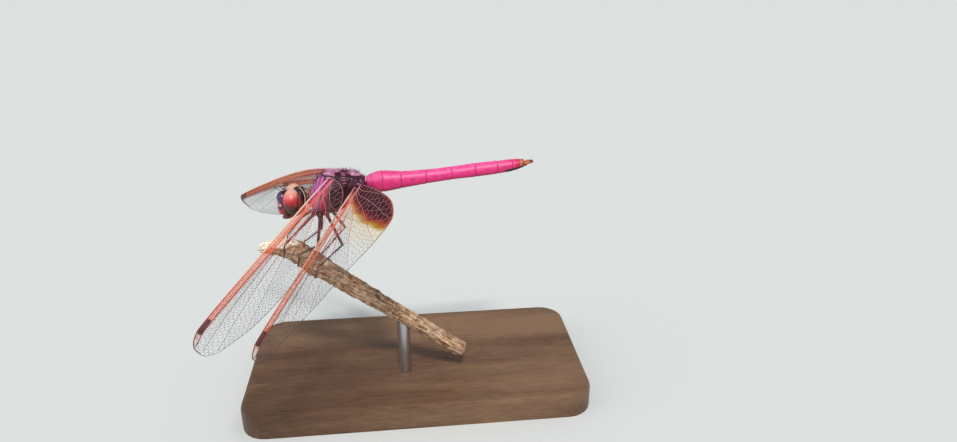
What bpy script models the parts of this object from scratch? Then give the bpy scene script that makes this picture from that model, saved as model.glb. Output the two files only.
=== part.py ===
"""A dragonfly gripping a cut twig that stands on a rod and a flat base.

Lengths are in mm and turn into metres as each mesh is made. Body points are (ahead, left, up) of the
middle of the thorax: the insect faces -X and its left side faces -Y.
"""
import bpy
import bmesh
from math import cos, pi, radians, sin, tan
from mathutils import Matrix, Vector

for old in list(bpy.data.objects):
    bpy.data.objects.remove(old, do_unlink=True)

MM = 0.001
JOINT_GAP = 0.06           # left between neighbouring solids
SIDES = 20

# stand
BASE_LENGTH, BASE_DEPTH, BASE_THICK = 54.0, 28.0, 4.0
BASE_CORNER = 4.0
THORAX_HEIGHT = 35.0       # middle of the thorax above the table
BASE_AHEAD, BASE_LEFT = -10.0, -4.0    # middle of the base from the middle of the thorax
ROD_RADIUS = 1.0
ROD_AHEAD = -8.0

# twig
TWIG_POINTS = ((12.4, -8.2), (10.2, -8.1), (8.0, -8.8), (6.0, -10.2), (3.0, -12.6),
               (0.0, -15.0), (-6.0, -19.5), (-12.0, -24.0), (-17.2, -27.9))
TWIG_RADII = (0.8, 1.25, 1.55, 1.7, 1.6, 1.5, 1.32, 1.28, 1.25)

# head
EYE_CENTRE, EYE_RADII = (6.95, 1.46, -0.5), (1.22, 1.38, 1.78)
EYE_LEAN = 18.0            # degrees that the top of each eye leans inwards
HEAD_CENTRE, HEAD_RADII = (7.15, 0.0, -1.15), (2.0, 1.95, 2.3)
MOUTH_TOP = -2.15
FRONS_CENTRE, FRONS_RADII = (8.55, 0.0, -0.55), (0.75, 0.95, 0.85)
ANTENNA_LENGTH, ANTENNA_RADIUS = 1.9, 0.26

# thorax: ahead, top, bottom, half width
PROTHORAX = ((5.05, 0.05, -1.25, 0.75), (4.75, 0.4, -1.6, 1.15), (4.42, 0.5, -1.8, 1.25))
THORAX = ((4.35, 0.45, -1.75, 1.2), (4.0, 1.25, -2.5, 1.75), (3.3, 2.35, -3.1, 2.15),
          (2.4, 3.1, -3.25, 2.4), (1.2, 3.5, -3.05, 2.5), (0.0, 3.5, -2.5, 2.5),
          (-1.2, 3.35, -1.7, 2.35), (-2.3, 3.0, -0.85, 2.05), (-3.0, 2.5, -0.1, 1.65),
          (-3.6, 2.05, 0.4, 1.15))

# abdomen: ahead, middle, half height, half width at each joint between segments
ABDOMEN = ((-3.66, 1.3, 0.9, 1.0), (-4.3, 1.35, 1.25, 1.25), (-5.95, 1.38, 1.6, 1.45),
           (-8.65, 1.52, 1.28, 1.2), (-12.25, 1.87, 1.05, 1.05), (-15.95, 2.26, 0.97, 1.0),
           (-19.4, 2.6, 1.02, 1.05), (-22.65, 2.9, 0.97, 1.0), (-24.85, 3.15, 0.88, 0.9),
           (-25.8, 3.3, 0.75, 0.75), (-26.5, 3.42, 0.6, 0.62))
CERCUS_LENGTH, CERCUS_RADIUS = 1.6, 0.28

# wings: length, then the margin as (part of the length, chord behind the leading line)
WING_THICK = 0.5
FORE_WING_LENGTH, HIND_WING_LENGTH = 30.5, 29.0
FORE_MARGIN = ((0.0, -0.35), (0.25, -0.3), (0.525, -0.12), (0.86, 0.1), (0.94, 0.55), (0.985, 1.7),
               (1.0, 3.3), (0.98, 4.6), (0.92, 5.6), (0.8, 6.5), (0.6, 6.8), (0.4, 6.35), (0.22, 5.4),
               (0.1, 4.2), (0.03, 2.4), (0.0, 0.6))
HIND_MARGIN = ((0.0, -0.35), (0.2, -0.3), (0.405, -0.2), (0.86, 0.2), (0.94, 0.65), (0.985, 1.6),
               (1.0, 3.0), (0.975, 3.9), (0.88, 5.1), (0.7, 6.8), (0.5, 8.5), (0.34, 10.2), (0.23, 10.9),
               (0.15, 9.7), (0.095, 7.7), (0.045, 4.4), (0.0, 0.8))
FORE_HINGE, HIND_HINGE = (1.16, 1.6, 2.61), (-2.65, 1.7, 1.56)
# each wing: hinge, margin, length, side, degrees swept ahead, drooped and twisted, and how far its
# leading edge bows forward
WINGS = {
    "fore_wing_left": (FORE_HINGE, FORE_MARGIN, FORE_WING_LENGTH, 1, 32.5, 28.8, 18.0, 0.0),
    "fore_wing_right": (FORE_HINGE, FORE_MARGIN, FORE_WING_LENGTH, -1, 39.7, 28.4, -27.5, 1.3),
    "hind_wing_left": (HIND_HINGE, HIND_MARGIN, HIND_WING_LENGTH, 1, 28.5, 35.1, 38.7, 0.0),
    "hind_wing_right": (HIND_HINGE, HIND_MARGIN, HIND_WING_LENGTH, -1, 34.0, 20.0, -45.0, 0.0),
}

# legs, left side: hip, knee, ankle and claws, and the thickness at hip, knee and ankle
LEG_RADII = (0.42, 0.32, 0.26, 0.25)
LEGS = {
    "fore": ((4.0, 1.0, -2.7), (6.3, 2.6, -4.6), (8.6, 1.85, -7.2), (8.9, 1.68, -9.1)),
    "mid": ((3.2, 1.3, -3.0), (3.7, 3.1, -6.9), (6.6, 2.05, -8.7), (7.0, 1.95, -10.5)),
    "hind": ((2.3, 1.5, -2.6), (0.2, 3.3, -6.9), (4.1, 2.05, -10.9), (4.7, 1.95, -12.6)),
}

COLOURS = {
    "eye": ((0.55, 0.05, 0.06, 1), 0.25), "head": ((0.30, 0.03, 0.05, 1), 0.45),
    "thorax": ((0.42, 0.05, 0.14, 1), 0.5), "abdomen": ((0.80, 0.06, 0.30, 1), 0.4),
    "wing": ((0.75, 0.45, 0.40, 1), 0.3), "leg": ((0.08, 0.02, 0.02, 1), 0.45),
    "bark": ((0.33, 0.22, 0.14, 1), 0.9), "base_wood": ((0.16, 0.08, 0.045, 1), 0.4),
    "rod_steel": ((0.6, 0.6, 0.6, 1), 0.3),
}

solids = bpy.data.collections.new("dragonfly_on_twig")
cutters = bpy.data.collections.new("cutters")
for collection in (solids, cutters):
    bpy.context.scene.collection.children.link(collection)


def at(ahead, left, up):
    """The row's metres for a body point."""
    return Vector((BASE_AHEAD - ahead, BASE_LEFT - left, up + THORAX_HEIGHT)) * MM


def material(slot):
    found = bpy.data.materials.get(slot)
    if found:
        return found
    made = bpy.data.materials.new(slot)
    made.use_nodes = True
    shader = made.node_tree.nodes["Principled BSDF"]
    colour, rough = COLOURS[slot]
    shader.inputs["Base Color"].default_value = colour
    shader.inputs["Roughness"].default_value = rough
    shader.inputs["Metallic"].default_value = 1.0 if slot == "rod_steel" else 0.0
    return made


def finish_mesh(name, bm, slot=None):
    """Weld, face outward and store a mesh; with no slot it is a hidden cutter."""
    bmesh.ops.remove_doubles(bm, verts=bm.verts, dist=1e-6)
    bmesh.ops.recalc_face_normals(bm, faces=bm.faces)
    mesh = bpy.data.meshes.new(name)
    bm.to_mesh(mesh)
    bm.free()
    obj = bpy.data.objects.new(name, mesh)
    if slot:
        solids.objects.link(obj)
        mesh.materials.append(material(slot))
    else:
        cutters.objects.link(obj)
        obj.hide_render = True
        obj.display_type = "WIRE"
    return obj


def ellipsoid(name, centre, radii, slot=None, grow=0.0, lean=0.0, across=24, rings=16):
    bm = bmesh.new()
    turn = Matrix.Rotation(radians(-lean), 4, "X")
    size = Matrix.Diagonal([(r + grow) * MM for r in radii] + [1.0])
    bmesh.ops.create_uvsphere(bm, u_segments=across, v_segments=rings, radius=1.0,
                              matrix=Matrix.Translation(at(*centre)) @ turn @ size)
    return finish_mesh(name, bm, slot)


def loft(name, rings, slot=None):
    """Join rings of points into one closed body with flat ends."""
    bm = bmesh.new()
    rows = [[bm.verts.new(p) for p in ring] for ring in rings]
    for one, two in zip(rows, rows[1:]):
        for i in range(len(one)):
            j = (i + 1) % len(one)
            bm.faces.new((one[i], one[j], two[j], two[i]))
    bm.faces.new(list(reversed(rows[0])))
    bm.faces.new(rows[-1])
    return finish_mesh(name, bm, slot)


def cross_section(ahead, middle, half_height, half_width):
    """An oval ring of points square to the body's length."""
    angles = [2 * pi * i / SIDES for i in range(SIDES)]
    return [at(ahead, half_width * sin(a), middle + half_height * cos(a)) for a in angles]


def body_rings(stations, grow=0.0):
    return [cross_section(x, (top + low) / 2, (top - low) / 2 + grow, wide + grow)
            for x, top, low, wide in stations]


def rod_between(name, start, end, radius_start, radius_end, slot, sides=12):
    """A straight round bar or cone between two body points."""
    a, b = at(*start), at(*end)
    turn = Vector((0, 0, 1)).rotation_difference(b - a).to_matrix().to_4x4()
    bm = bmesh.new()
    bmesh.ops.create_cone(bm, cap_ends=True, segments=sides, radius1=radius_start * MM,
                          radius2=radius_end * MM, depth=(b - a).length,
                          matrix=Matrix.Translation((a + b) / 2) @ turn)
    return finish_mesh(name, bm, slot)


def cut(obj, cutter):
    """Subtract a cutter from a solid."""
    step = obj.modifiers.new("cut", "BOOLEAN")
    step.operation = "DIFFERENCE"
    step.solver = "EXACT"
    step.object = cutter


def half_space(name, low):
    """Hidden block round the head that starts at one height and fills 10 mm upwards."""
    bm = bmesh.new()
    place = Matrix.Translation(at(7.0, 0, low + 5.0))
    bmesh.ops.create_cube(bm, size=1.0, matrix=place @ Matrix.Diagonal((14 * MM, 14 * MM, 10 * MM, 1)))
    return finish_mesh(name, bm)


def make_head():
    eye_cutters = []
    for side, word in ((1, "left"), (-1, "right")):
        centre = (EYE_CENTRE[0], side * EYE_CENTRE[1], EYE_CENTRE[2])
        ellipsoid("eye_" + word, centre, EYE_RADII, "eye", lean=side * EYE_LEAN)
        eye_cutters.append(ellipsoid("eye_space_" + word, centre, EYE_RADII, grow=JOINT_GAP,
                                     lean=side * EYE_LEAN))
    head = ellipsoid("head", HEAD_CENTRE, HEAD_RADII, "head")
    mouth = ellipsoid("mouthparts", HEAD_CENTRE, HEAD_RADII, "head")
    frons = ellipsoid("frons", FRONS_CENTRE, FRONS_RADII, "head", across=16, rings=12)
    head_space = ellipsoid("head_space", HEAD_CENTRE, HEAD_RADII, grow=JOINT_GAP)
    cut(mouth, half_space("above_mouth", MOUTH_TOP))
    cut(head, half_space("below_head", MOUTH_TOP + JOINT_GAP - 10.0))
    for space in eye_cutters:
        for solid in (head, mouth, frons):
            cut(solid, space)
    cut(frons, head_space)
    frons_space = ellipsoid("frons_space", FRONS_CENTRE, FRONS_RADII, grow=JOINT_GAP, across=16, rings=12)
    for side, word in ((1, "left"), (-1, "right")):
        start = Vector((8.2, side * 0.45, 0.1))
        along = Vector((0.55, side * 0.35, 0.75)).normalized()
        feeler = rod_between("antenna_" + word, start, start + along * ANTENNA_LENGTH, ANTENNA_RADIUS,
                             ANTENNA_RADIUS, "head")
        for space in [head_space, frons_space] + eye_cutters:
            cut(feeler, space)


def make_abdomen():
    for number, (near, far) in enumerate(zip(ABDOMEN, ABDOMEN[1:]), start=1):
        start = (near[0] - JOINT_GAP / 2,) + near[1:]
        end = (far[0] + JOINT_GAP / 2,) + far[1:]
        loft("abdomen_s%d" % number, [cross_section(*start), cross_section(*end)], "abdomen")
    last = ABDOMEN[-1]
    for side, word in ((1, "left"), (-1, "right")):
        start = (last[0] - JOINT_GAP / 2, side * 0.32, last[1] + 0.1)
        end = (start[0] - CERCUS_LENGTH, side * 0.34, start[2] + 0.2)
        rod_between("cercus_" + word, start, end, CERCUS_RADIUS, CERCUS_RADIUS * 0.9, "abdomen")


def wing_axes(side, sweep, droop, twist):
    """Unit vectors along the wing, behind its leading line and out of its upper face."""
    f, d, t = radians(sweep), radians(droop), radians(twist)
    span = Vector((sin(f), cos(f) * cos(d), -cos(f) * sin(d)))
    flat_chord = Vector((-cos(f), sin(f) * cos(d), -sin(f) * sin(d)))
    chord = flat_chord * cos(t) + span.cross(flat_chord) * sin(t)
    axes = [span, chord, span.cross(chord)]
    for axis in axes:
        axis.y *= side
    return axes


def make_wing(name, hinge, margin, length, side, sweep, droop, twist, bow, thorax_space):
    """A flat plate cut from its margin, which is a smooth closed curve."""
    outline = bpy.data.curves.new(name, "CURVE")
    outline.dimensions = "2D"
    outline.fill_mode = "BOTH"
    outline.extrude = WING_THICK / 2
    outline.resolution_u = 4
    spline = outline.splines.new("BEZIER")
    spline.use_cyclic_u = True
    spline.bezier_points.add(len(margin) - 1)
    for point, (part, chord) in zip(spline.bezier_points, margin):
        point.co = (part * length, chord, 0)
        point.handle_left_type = point.handle_right_type = "AUTO"
    flat = bpy.data.objects.new(name + "_outline", outline)
    cutters.objects.link(flat)
    mesh = bpy.data.meshes.new_from_object(flat.evaluated_get(bpy.context.evaluated_depsgraph_get()))
    bm = bmesh.new()
    bm.from_mesh(mesh)
    bpy.data.objects.remove(flat)
    origin = Vector((hinge[0], side * hinge[1], hinge[2]))
    span, chord, normal = wing_axes(side, sweep, droop, twist)
    for vert in bm.verts:
        along, behind, lift = vert.co
        part = min(1.0, max(0.0, along / length))
        behind -= bow * sin(pi * part ** 0.6) * max(0.0, 1 - behind / 5)
        spot = origin + span * along + chord * behind + normal * lift
        vert.co = at(*spot)
    cut(finish_mesh(name, bm, "wing"), thorax_space)


def pull_back(point, toward, amount):
    """Move a point along the way to another one."""
    return point + (toward - point).normalized() * amount


def joint_setback(before, joint, after, radius):
    """How far two bars stop short of the joint they meet at, so that their edges clear."""
    half = (before - joint).angle(after - joint) / 2
    return radius / tan(half) + JOINT_GAP


def make_leg(pair, word, side, thorax_space):
    hip, knee, ankle, claws = [Vector((p[0], side * p[1], p[2])) for p in LEGS[pair]]
    r_hip, r_knee, r_ankle, r_claw = LEG_RADII
    at_knee = joint_setback(hip, knee, ankle, r_knee)
    at_ankle = joint_setback(knee, ankle, claws, r_ankle)
    name = "leg_%s_%s_" % (pair, word)
    femur = rod_between(name + "femur", hip, pull_back(knee, hip, at_knee), r_hip, r_knee, "leg")
    rod_between(name + "tibia", pull_back(knee, ankle, at_knee), pull_back(ankle, knee, at_ankle),
                r_knee, r_ankle, "leg")
    rod_between(name + "tarsus", pull_back(ankle, claws, at_ankle), claws, r_ankle, r_claw, "leg")
    cut(femur, thorax_space)


def make_twig():
    """A bent, tapering branch: a curve with a round bevel and closed ends."""
    shape = bpy.data.curves.new("perch_twig", "CURVE")
    shape.dimensions = "3D"
    shape.bevel_depth = 1.0
    shape.bevel_resolution = 4
    shape.use_fill_caps = True
    spline = shape.splines.new("POLY")
    spline.points.add(len(TWIG_POINTS) - 1)
    for point, (ahead, up), radius in zip(spline.points, TWIG_POINTS, TWIG_RADII):
        point.co = (ahead, 0, up, 1)
        point.radius = radius
    bent = bpy.data.objects.new("perch_twig_line", shape)
    cutters.objects.link(bent)
    mesh = bpy.data.meshes.new_from_object(bent.evaluated_get(bpy.context.evaluated_depsgraph_get()))
    bm = bmesh.new()
    bm.from_mesh(mesh)
    bpy.data.objects.remove(bent)
    for vert in bm.verts:
        vert.co = at(vert.co.x, vert.co.y, vert.co.z)
    return finish_mesh("perch_twig", bm, "bark")


def make_stand(twig):
    bm = bmesh.new()
    middle = Matrix.Translation((0, 0, BASE_THICK / 2 * MM))
    size = Matrix.Diagonal((BASE_LENGTH * MM, BASE_DEPTH * MM, BASE_THICK * MM, 1))
    bmesh.ops.create_cube(bm, size=1.0, matrix=middle @ size)
    uprights = [e for e in bm.edges if abs(e.verts[0].co.z - e.verts[1].co.z) > MM]
    bmesh.ops.bevel(bm, geom=uprights, offset=BASE_CORNER * MM, segments=6, profile=0.5, affect="EDGES",
                    material=-1)
    rim = [e for e in bm.edges if min(v.co.z for v in e.verts) > (BASE_THICK - 0.1) * MM]
    bmesh.ops.bevel(bm, geom=rim, offset=0.6 * MM, segments=2, profile=0.5, affect="EDGES", material=-1)
    finish_mesh("stand_base", bm, "base_wood")

    foot = (ROD_AHEAD, 0, BASE_THICK + JOINT_GAP - THORAX_HEIGHT)
    under_twig = next(
        a[1] + (b[1] - a[1]) * (ROD_AHEAD - a[0]) / (b[0] - a[0])
        for a, b in zip(TWIG_POINTS, TWIG_POINTS[1:]) if b[0] <= ROD_AHEAD <= a[0])
    rod = rod_between("stand_rod", foot, (ROD_AHEAD, 0, under_twig), ROD_RADIUS, ROD_RADIUS, "rod_steel", 20)
    twig_space = bpy.data.objects.new("twig_space", twig.data.copy())
    for vert in twig_space.data.vertices:
        vert.co += vert.normal * JOINT_GAP * MM
    cutters.objects.link(twig_space)
    twig_space.hide_render = True
    twig_space.display_type = "WIRE"
    cut(rod, twig_space)


thorax_space = loft("thorax_space", body_rings(THORAX, grow=JOINT_GAP))
make_head()
loft("prothorax", body_rings(PROTHORAX), "thorax")
loft("thorax", body_rings(THORAX), "thorax")
make_abdomen()
for wing_name, values in WINGS.items():
    make_wing(wing_name, *values, thorax_space)
for pair in LEGS:
    make_leg(pair, "left", 1, thorax_space)
    make_leg(pair, "right", -1, thorax_space)
make_stand(make_twig())
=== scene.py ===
"""A dragonfly gripping a broken twig, held on a rod above a small wooden base.

Sizes are in mm and become metres where a mesh is placed. Body places are (ahead, left, up) of the middle
of the thorax: the insect faces -X and its left side faces -Y.
"""
import random
from math import cos, exp, pi, radians, sin, sqrt

import bmesh
import bpy
import numpy as np
from mathutils import Euler, Matrix, Vector
from mathutils.geometry import delaunay_2d_cdt


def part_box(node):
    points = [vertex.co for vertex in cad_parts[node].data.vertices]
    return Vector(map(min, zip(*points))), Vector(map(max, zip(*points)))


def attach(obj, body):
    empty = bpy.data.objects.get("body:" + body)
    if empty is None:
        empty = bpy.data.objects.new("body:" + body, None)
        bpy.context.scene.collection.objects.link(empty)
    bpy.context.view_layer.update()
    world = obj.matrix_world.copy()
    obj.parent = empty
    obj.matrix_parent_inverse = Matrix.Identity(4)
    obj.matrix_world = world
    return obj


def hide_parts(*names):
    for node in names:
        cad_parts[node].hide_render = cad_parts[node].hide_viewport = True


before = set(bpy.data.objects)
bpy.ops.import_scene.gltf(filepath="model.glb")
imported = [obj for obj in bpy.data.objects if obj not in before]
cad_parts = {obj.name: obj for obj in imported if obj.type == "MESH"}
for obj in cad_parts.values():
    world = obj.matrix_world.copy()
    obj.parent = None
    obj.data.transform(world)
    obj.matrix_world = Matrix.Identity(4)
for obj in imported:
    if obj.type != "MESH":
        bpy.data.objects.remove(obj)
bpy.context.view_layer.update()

MM = 0.001

# ---- The place of the insect, and the view of it.
# The thorax solid reaches as far ahead and up as its widest sections, which fixes the middle of the thorax.
# The view is from a little above, slightly behind the left side.
low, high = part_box("thorax")
THORAX = Vector(((low.x + high.x) / 2 + 0.375 * MM, (low.y + high.y) / 2, (low.z + high.z) / 2 - 0.125 * MM))
LOOK_DOWN, TURN = 22.7, 6.5
CAMERA_OFFSET = Vector((19.79, -4.19, 103.75))


def at(ahead, left, up):
    """The row's metres for a place on the body."""
    return THORAX + Vector((-ahead, -left, up)) * MM


camera = bpy.data.objects.new("camera", bpy.data.cameras.new("camera"))
bpy.context.scene.collection.objects.link(camera)
view_turn = Euler((radians(90 - LOOK_DOWN), 0, radians(-TURN))).to_matrix()
camera.location = THORAX + view_turn @ CAMERA_OFFSET * MM
camera.rotation_euler = view_turn.to_euler()
camera.data.lens = 26.97
camera.data.sensor_width = 36
camera.data.clip_start = 0.005
bpy.context.scene.camera = camera

# ---- The studio: a pale matt floor under an open, cloudy sky.
# A soft high sun comes over the camera's left shoulder, and a weaker one fills the shade behind the insect.


def new_material(name, colour=(0.5, 0.5, 0.5), rough=0.5, **settings):
    """A material with its Principled shader's own sockets set; returns it, its tree and the shader."""
    made = bpy.data.materials.new(name)
    made.use_nodes = True
    tree = made.node_tree
    shader = tree.nodes["Principled BSDF"]
    shader.inputs["Base Color"].default_value = (*colour, 1)
    shader.inputs["Roughness"].default_value = rough
    for key, value in settings.items():
        shader.inputs[key.replace("_", " ")].default_value = value
    return made, tree, shader


floor_mesh = bpy.data.meshes.new("floor")
bm = bmesh.new()
bmesh.ops.create_grid(bm, x_segments=1, y_segments=1, size=2.0)
bm.to_mesh(floor_mesh)
bm.free()
floor = bpy.data.objects.new("floor", floor_mesh)
bpy.context.scene.collection.objects.link(floor)
floor_mesh.materials.append(new_material("pale_floor", (0.62, 0.63, 0.61), 0.9)[0])

world = bpy.data.worlds.new("studio")
world.use_nodes = True
world.node_tree.nodes["Background"].inputs["Color"].default_value = (0.88, 0.94, 1.0, 1)
world.node_tree.nodes["Background"].inputs["Strength"].default_value = 0.45
bpy.context.scene.world = world
bpy.context.scene.view_settings.view_transform = "Standard"

for lamp_name, slant, spread, strength in (("high_sun", (30, 14, -20), 9, 2.6),
                                           ("low_sun", (62, 0, -75), 40, 0.5)):
    lamp = bpy.data.objects.new(lamp_name, bpy.data.lights.new(lamp_name, "SUN"))
    lamp.data.angle = radians(spread)
    lamp.data.energy = strength
    lamp.rotation_euler = [radians(a) for a in slant]
    bpy.context.scene.collection.objects.link(lamp)

# ---- The stand: a small hardwood base, and a steel rod let into it.
# The wood is oiled and satin, with its grain along the length; the rod is drawn steel, brushed lengthways.


def plug(tree, socket, value):
    """Joins a socket to another node's output, or sets it to a value; a colour may leave out its alpha."""
    if isinstance(value, bpy.types.NodeSocket):
        tree.links.new(value, socket)
    else:
        socket.default_value = (*value, 1) if socket.type == "RGBA" and len(value) == 3 else value


def add_node(tree, kind, settings=None, **inputs):
    """A shader node with some of its settings and inputs given."""
    made = tree.nodes.new("ShaderNode" + kind)
    for key, value in (settings or {}).items():
        setattr(made, key, value)
    for key, value in inputs.items():
        plug(tree, made.inputs[key.replace("_", " ")], value)
    return made


def noise(tree, place, scale, detail=2.0, rough=0.5):
    return add_node(tree, "TexNoise", Vector=place, Scale=scale, Detail=detail,
                    Roughness=rough).outputs["Fac"]


def calc(tree, operation, *values, clamp=False):
    """The result of a sum on numbers and other nodes' outputs."""
    made = add_node(tree, "Math", {"operation": operation, "use_clamp": clamp})
    for socket, value in zip(made.inputs, values):
        plug(tree, socket, value)
    return made.outputs["Value"]


def mix(tree, factor, under, over, blend="MIX"):
    """One colour laid over another."""
    return add_node(tree, "MixRGB", {"blend_type": blend}, Fac=factor, Color1=under,
                    Color2=over).outputs["Color"]


def ramp(tree, factor, *stops):
    """A colour ramp; each stop is a place and a colour or a grey."""
    made = add_node(tree, "ValToRGB", Fac=factor)
    steps = made.color_ramp.elements
    while len(steps) < len(stops):
        steps.new(0.5)
    for step, (place, colour) in zip(steps, sorted(stops, key=lambda stop: stop[0])):
        step.position = place
        step.color = (*colour, 1) if isinstance(colour, tuple) else (colour, colour, colour, 1)
    return made.outputs["Color"]


def bump(tree, shader, height, strength, distance):
    made = add_node(tree, "Bump", Height=height, Strength=strength, Distance=distance * MM)
    tree.links.new(made.outputs["Normal"], shader.inputs["Normal"])


def object_place(tree, scale=(1, 1, 1)):
    place = add_node(tree, "TexCoord").outputs["Object"]
    return add_node(tree, "Mapping", Vector=place, Scale=scale).outputs["Vector"]


walnut, tree, shader = new_material("oiled_walnut", rough=0.42, Specular_IOR_Level=0.4)
broad = noise(tree, object_place(tree, (18, 130, 130)), 1.0, 3.0)
fine = noise(tree, object_place(tree, (140, 900, 900)), 3.0, 6.0, 0.65)
wood = ramp(tree, calc(tree, "MULTIPLY_ADD", fine, 0.45, broad), (0.45, (0.045, 0.020, 0.010)),
            (0.68, (0.115, 0.055, 0.027)), (0.9, (0.21, 0.115, 0.06)))
tree.links.new(wood, shader.inputs["Base Color"])
bump(tree, shader, fine, 0.25, 0.05)
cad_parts["stand_base"].material_slots[0].material = walnut

steel, tree, shader = new_material("brushed_rod", (0.55, 0.56, 0.58), 0.28, Metallic=1.0)
lines = noise(tree, object_place(tree, (9000, 9000, 160)), 1.0, 4.0)
tree.links.new(ramp(tree, lines, (0.3, 0.2), (0.7, 0.4)), shader.inputs["Roughness"])
bump(tree, shader, lines, 0.15, 0.01)
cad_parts["stand_rod"].material_slots[0].material = steel

# ---- The twig: a dead branch as thick as a match, snapped at its upper end and sawn off at its lower end.
# The bark is brown and tan with grey crusts and small knots; the snapped wood is pale and splintered.
TWIG_LINE = ((12.4, -8.2), (10.2, -8.1), (8.0, -8.8), (6.0, -10.2), (3.0, -12.6), (0.0, -15.0),
             (-6.0, -19.5), (-12.0, -24.0), (-17.2, -27.9))
TWIG_RADII = (0.8, 1.25, 1.55, 1.7, 1.6, 1.5, 1.32, 1.28, 1.25)
TWIG_KNOTS = ((0.44, 2.6, 0.30), (0.62, 0.7, 0.20), (0.83, 3.9, 0.24), (0.30, 5.4, 0.20))
BARE_WOOD = 0.25           # part of the length, from the tip, where the bark has torn away
SPLINTERS = 90
END_ROUNDING = 0.012


def blend_values(rows, t):
    """Values along a smooth curve through rows of numbers, with t from 0 to 1 over all of them."""
    rows = np.asarray(rows, float)
    x = min(max(t, 0.0), 1.0) * (len(rows) - 1)
    i = min(int(x), len(rows) - 2)
    f = x - i
    a, b = rows[i], rows[i + 1]
    before, after = rows[max(i - 1, 0)], rows[min(i + 2, len(rows) - 1)]
    return (a * (2 * f**3 - 3 * f**2 + 1) + b * (3 * f**2 - 2 * f**3)
            + (b - before) / 2 * (f**3 - 2 * f**2 + f) + (after - a) / 2 * (f**3 - f**2))


def fresh(*marks):
    """An empty mesh with a UV map and a number on each point for every mark."""
    bm = bmesh.new()
    bm.loops.layers.uv.new("lay")
    for mark in marks:
        bm.verts.layers.float.new(mark)
    return bm


def mark(bm, verts, values):
    for vert in verts:
        for layer, value in zip(bm.verts.layers.float.values(), values):
            vert[layer] = value


def wrap(bm, rows, round_it, shape):
    """Bend a grid into a closed skin, which ends where the shape comes to a point.

    shape(t, angle) gives a place in metres, then the marks' values, with t from 0 to 1 along the skin.
    """
    grid = bmesh.ops.create_grid(bm, x_segments=rows, y_segments=round_it, size=0.5, calc_uvs=True)["verts"]
    for vert in grid:
        vert.co, *values = shape(min(max(vert.co.x + 0.5, 0), 1), (vert.co.y + 0.5) * 2 * pi)
        mark(bm, [vert], values)
    bmesh.ops.remove_doubles(bm, verts=grid, dist=2e-7)


def ball(bm, centre, radii, values=(), turn=(0, 0, 0), across=24, rings=16):
    """A rounded lump at a body place, with its radii ahead, left and up, turned by degrees."""
    size = Matrix.Diagonal([r * MM for r in radii] + [1.0])
    rotate = Euler([radians(a) for a in turn]).to_matrix().to_4x4()
    verts = bmesh.ops.create_uvsphere(bm, u_segments=across, v_segments=rings, radius=1.0,
                                      matrix=Matrix.Translation(at(*centre)) @ rotate @ size,
                                      calc_uvs=True)["verts"]
    mark(bm, verts, values)


def capped(t, cap):
    """Splits t into the part of the length between two end caps and the size of the cap there."""
    edge = min(t, 1 - t) / cap
    size = sqrt(max(0.0, 1 - (1 - edge) ** 2)) if edge < 1 else 1.0
    return min(max((t - cap) / (1 - 2 * cap), 0.0), 1.0), size


def frames_along(points, count):
    """Places on a smooth line through body points, each with two directions square to it."""
    places = [Vector(blend_values(points, i / count)) for i in range(count + 1)]
    turned = []
    across = None
    for i, place in enumerate(places):
        run = (places[min(i + 1, count)] - places[max(i - 1, 0)]).normalized()
        if across is None:
            across = run.orthogonal().normalized()
        across = (across - run * across.dot(run)).normalized()
        turned.append((place, across.copy(), run.cross(across)))
    return turned


def limb(bm, points, thickness, rows=32, round_it=12, values=None, cap=0.03):
    """A bent, closed, tapering tube; thickness(x) is its radius, and values(x, angle) are its marks."""
    line = frames_along(points, rows * 2)

    def shape(t, angle):
        x, size = capped(t, cap)
        place, one, two = line[int(round(x * rows * 2))]
        spot = place + (one * cos(angle) + two * sin(angle)) * thickness(x) * size
        return (at(*spot), *(values(x, angle) if values else ()))
    wrap(bm, rows, round_it, shape)


def spine(bm, root, tip, radius, values=(), sides=5):
    """A thin spike between two body places."""
    a, b = at(*root), at(*tip)
    turn = Vector((0, 0, 1)).rotation_difference(b - a).to_matrix().to_4x4()
    verts = bmesh.ops.create_cone(bm, cap_ends=True, segments=sides, radius1=radius * MM,
                                  radius2=radius * 0.15 * MM, depth=(b - a).length,
                                  matrix=Matrix.Translation((a + b) / 2) @ turn)["verts"]
    mark(bm, verts, values)


def piece_from(name, bm, material, replaced=()):
    """Store a mesh as a finished, smooth piece of the model, hang it under the root, and hide the parts it
    replaces.
    """
    bmesh.ops.recalc_face_normals(bm, faces=bm.faces)
    mesh = bpy.data.meshes.new(name)
    bm.to_mesh(mesh)
    bm.free()
    mesh.materials.append(material)
    mesh.polygons.foreach_set("use_smooth", [True] * len(mesh.polygons))
    obj = bpy.data.objects.new(name, mesh)
    bpy.context.scene.collection.objects.link(obj)
    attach(obj, "root")
    if replaced:
        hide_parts(*replaced)


def lumps(x, y, z):
    """A smooth wandering value between about -1 and 1."""
    return (sin(x * 1.7 + 2.1 * sin(y * 1.3)) + sin(y * 2.3 + 1.7 * sin(z * 1.9))
            + sin(z * 2.9 + 1.3 * sin(x * 2.2))) / 3


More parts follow.
